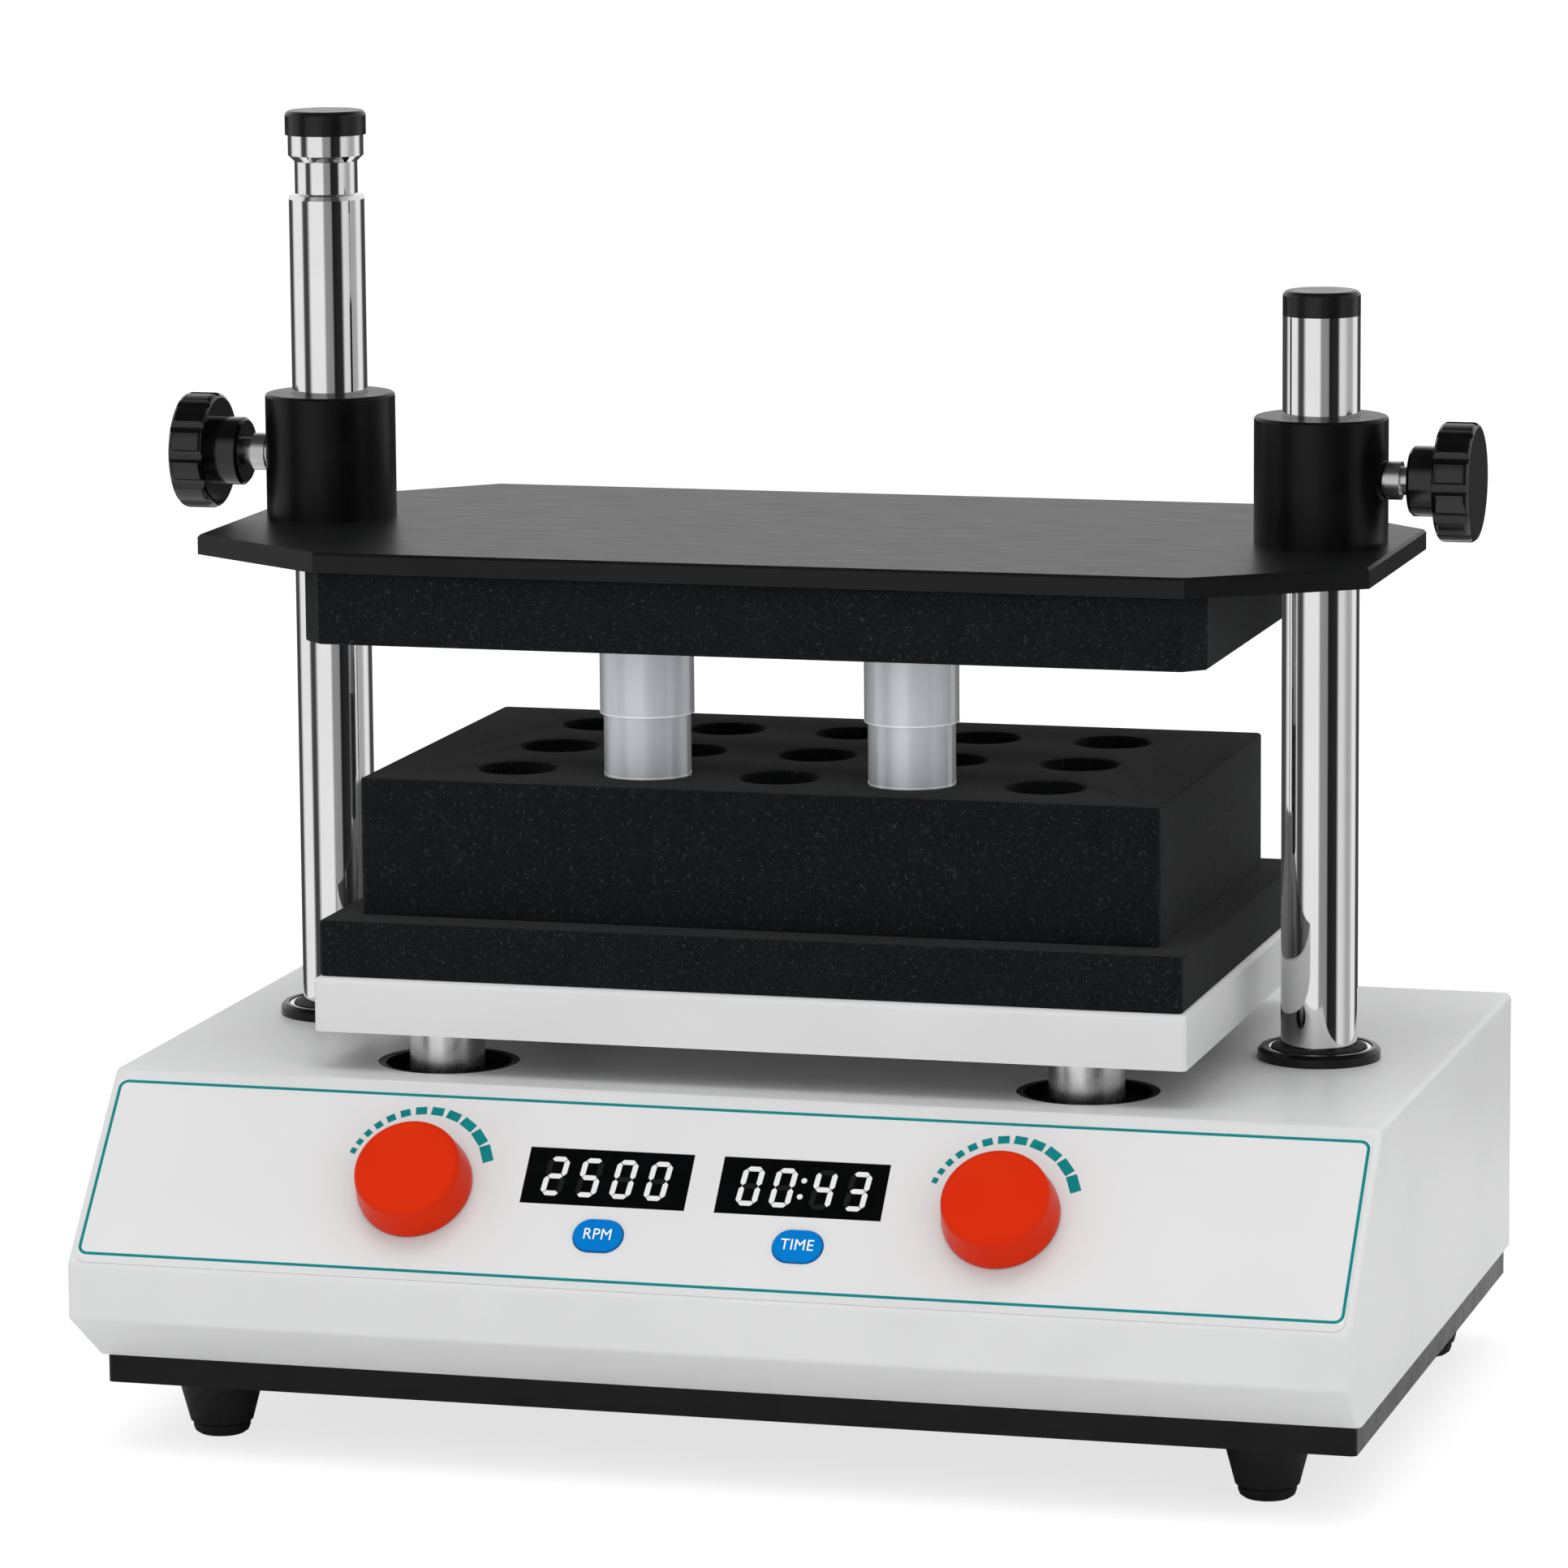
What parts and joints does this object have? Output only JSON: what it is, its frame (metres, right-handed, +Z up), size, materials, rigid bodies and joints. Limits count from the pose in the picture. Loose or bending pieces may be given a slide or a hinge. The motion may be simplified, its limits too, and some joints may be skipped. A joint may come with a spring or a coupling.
{
  "type": "multi-tube vortex mixer",
  "caption": "Bench mixer whose orbiting platform shakes tubes held in a foam rack under a clamped foam pad, with a sloped control panel.",
  "frame": {"origin": "on the floor below the middle of the case", "axes": "+Z up, front (control panel) towards -Y, +X to the right seen from the front"},
  "size_m": [0.437, 0.2799, 0.4217],
  "materials": {
    "grey_paint": "satin",
    "black_paint": "satin",
    "black_anodised": "satin",
    "black_rubber": "matte",
    "screw_steel": "satin",
    "chrome": "polished",
    "black_plastic": "satin",
    "pad_nylon": "satin",
    "panel_film": "satin",
    "display_lens": "gloss",
    "board": "satin",
    "machined_steel": "satin",
    "raw_aluminium": "satin",
    "motor_enamel": "satin",
    "black_foam": "matte",
    "tube_plastic": "satin",
    "knob_red": "satin",
    "key_blue": "satin"
  },
  "bodies": {
    "base": {"base_plate": "black_paint", "rubber_feet": "black_rubber", "frame_screws": "screw_steel", "case_shell": "grey_paint", "rear_panel": "grey_paint", "case_screws": "screw_steel", "panel_film": "panel_film", "speed_display": "display_lens", "time_display": "display_lens", "control_board": "board", "board_standoffs": "screw_steel", "potentiometers": "board", "key_switches": "board", "post_rims": "black_plastic", "column_left": "chrome", "column_right": "chrome", "column_cap_left": "black_plastic", "column_cap_right": "black_plastic", "column_rings": "black_plastic", "column_seals": "black_rubber", "column_bolts": "screw_steel", "chassis_plate": "raw_aluminium", "chassis_pillars": "raw_aluminium", "drive_motor": "motor_enamel", "idler_lower_bearings": "machined_steel", "power_supply": "board", "power_inlet": "black_plastic", "power_switch": "black_plastic"},
    "drive": {"motor_shaft": "machined_steel", "crank_hub": "machined_steel", "counterweight": "machined_steel"},
    "idler_rear": {"idler_crank_rear": "machined_steel"},
    "idler_left": {"idler_crank_left": "machined_steel"},
    "idler_right": {"idler_crank_right": "machined_steel"},
    "carriage": {"carriage_plate": "raw_aluminium", "drive_bearing": "machined_steel", "idler_upper_bearings": "machined_steel", "platform_posts": "machined_steel", "post_screws": "screw_steel", "platform": "grey_paint", "base_foam": "black_foam", "rack_foam": "black_foam", "sample_tubes": "tube_plastic", "tube_caps": "tube_plastic"},
    "clamp": {"clamp_plate": "black_anodised", "top_foam": "black_foam", "collar_left": "black_anodised", "collar_right": "black_anodised", "collar_screws": "screw_steel"},
    "tip_left": {"clamp_tip_left": "pad_nylon"},
    "tip_right": {"clamp_tip_right": "pad_nylon"},
    "clamp_handle_left": {"clamp_knob_left": "black_plastic", "clamp_screw_left": "machined_steel"},
    "clamp_handle_right": {"clamp_knob_right": "black_plastic", "clamp_screw_right": "machined_steel"},
    "speed_knob": {"speed_knob": "knob_red"},
    "time_knob": {"time_knob": "knob_red"},
    "speed_button": {"speed_button": "key_blue"},
    "time_button": {"time_button": "key_blue"},
    "power_rocker": {"power_rocker": "black_plastic"}
  },
  "joints": [
    {"name": "shaft_spin", "type": "hinge", "parent": "base", "child": "drive", "pos_m": [0, 0.016, 0.09], "axis": [0, 0, 1], "continuous": true},
    {"name": "carriage_orbit", "type": "hinge", "parent": "drive", "child": "carriage", "pos_m": [0, 0.014, 0.107], "axis": [0, 0, 1], "continuous": true},
    {"name": "idler_rear_spin", "type": "hinge", "parent": "base", "child": "idler_rear", "pos_m": [0, 0.078, 0.082], "axis": [0, 0, 1], "continuous": true},
    {"name": "idler_left_spin", "type": "hinge", "parent": "base", "child": "idler_left", "pos_m": [-0.05369, -0.015, 0.082], "axis": [0, 0, 1], "continuous": true},
    {"name": "idler_right_spin", "type": "hinge", "parent": "base", "child": "idler_right", "pos_m": [0.05369, -0.015, 0.082], "axis": [0, 0, 1], "continuous": true},
    {"name": "clamp_lift", "type": "slide", "parent": "base", "child": "clamp", "axis": [0, 0, 1], "range_m": [0, 0.0855]},
    {"name": "tip_left_travel", "type": "slide", "parent": "clamp", "child": "tip_left", "axis": [-1, 0, 0], "range_m": [0, 0.00301]},
    {"name": "clamp_left_turn", "type": "hinge", "parent": "tip_left", "child": "clamp_handle_left", "pos_m": [-0.1975, 0.016, 0.3077], "axis": [-1, 0, 0], "range_deg": [0, 720]},
    {"name": "tip_right_travel", "type": "slide", "parent": "clamp", "child": "tip_right", "axis": [1, 0, 0], "range_m": [0, 0.00301]},
    {"name": "clamp_right_turn", "type": "hinge", "parent": "tip_right", "child": "clamp_handle_right", "pos_m": [0.1975, 0.016, 0.3077], "axis": [1, 0, 0], "range_deg": [0, 720]},
    {"name": "speed_knob_turn", "type": "hinge", "parent": "base", "child": "speed_knob", "pos_m": [-0.0985, -0.11473, 0.08988], "axis": [0, -0.7436, 0.6686], "range_deg": [-135, 135]},
    {"name": "time_knob_turn", "type": "hinge", "parent": "base", "child": "time_knob", "pos_m": [0.0935, -0.11473, 0.08988], "axis": [0, -0.7436, 0.6686], "range_deg": [-135, 135]},
    {"name": "speed_button_press", "type": "slide", "parent": "base", "child": "speed_button", "axis": [0, 0.7436, -0.6686], "range_m": [0, 0.001], "stiffness_N_per_m": 500, "springref_m": -0.001},
    {"name": "time_button_press", "type": "slide", "parent": "base", "child": "time_button", "axis": [0, 0.7436, -0.6686], "range_m": [0, 0.001], "stiffness_N_per_m": 500, "springref_m": -0.001},
    {"name": "power_rocker_tip", "type": "hinge", "parent": "base", "child": "power_rocker", "pos_m": [0.164, 0.135, 0.074], "axis": [1, 0, 0], "range_deg": [-20, 0]}
  ],
  "couplings": [
    {"joint": "carriage_orbit", "follows": "shaft_spin", "ratio": -1},
    {"joint": "idler_rear_spin", "follows": "shaft_spin", "ratio": 1},
    {"joint": "idler_left_spin", "follows": "shaft_spin", "ratio": 1},
    {"joint": "idler_right_spin", "follows": "shaft_spin", "ratio": 1},
    {"joint": "tip_left_travel", "follows": "clamp_left_turn", "m_per_rad": 0.00023873},
    {"joint": "tip_right_travel", "follows": "clamp_right_turn", "m_per_rad": 0.00023873}
  ]
}
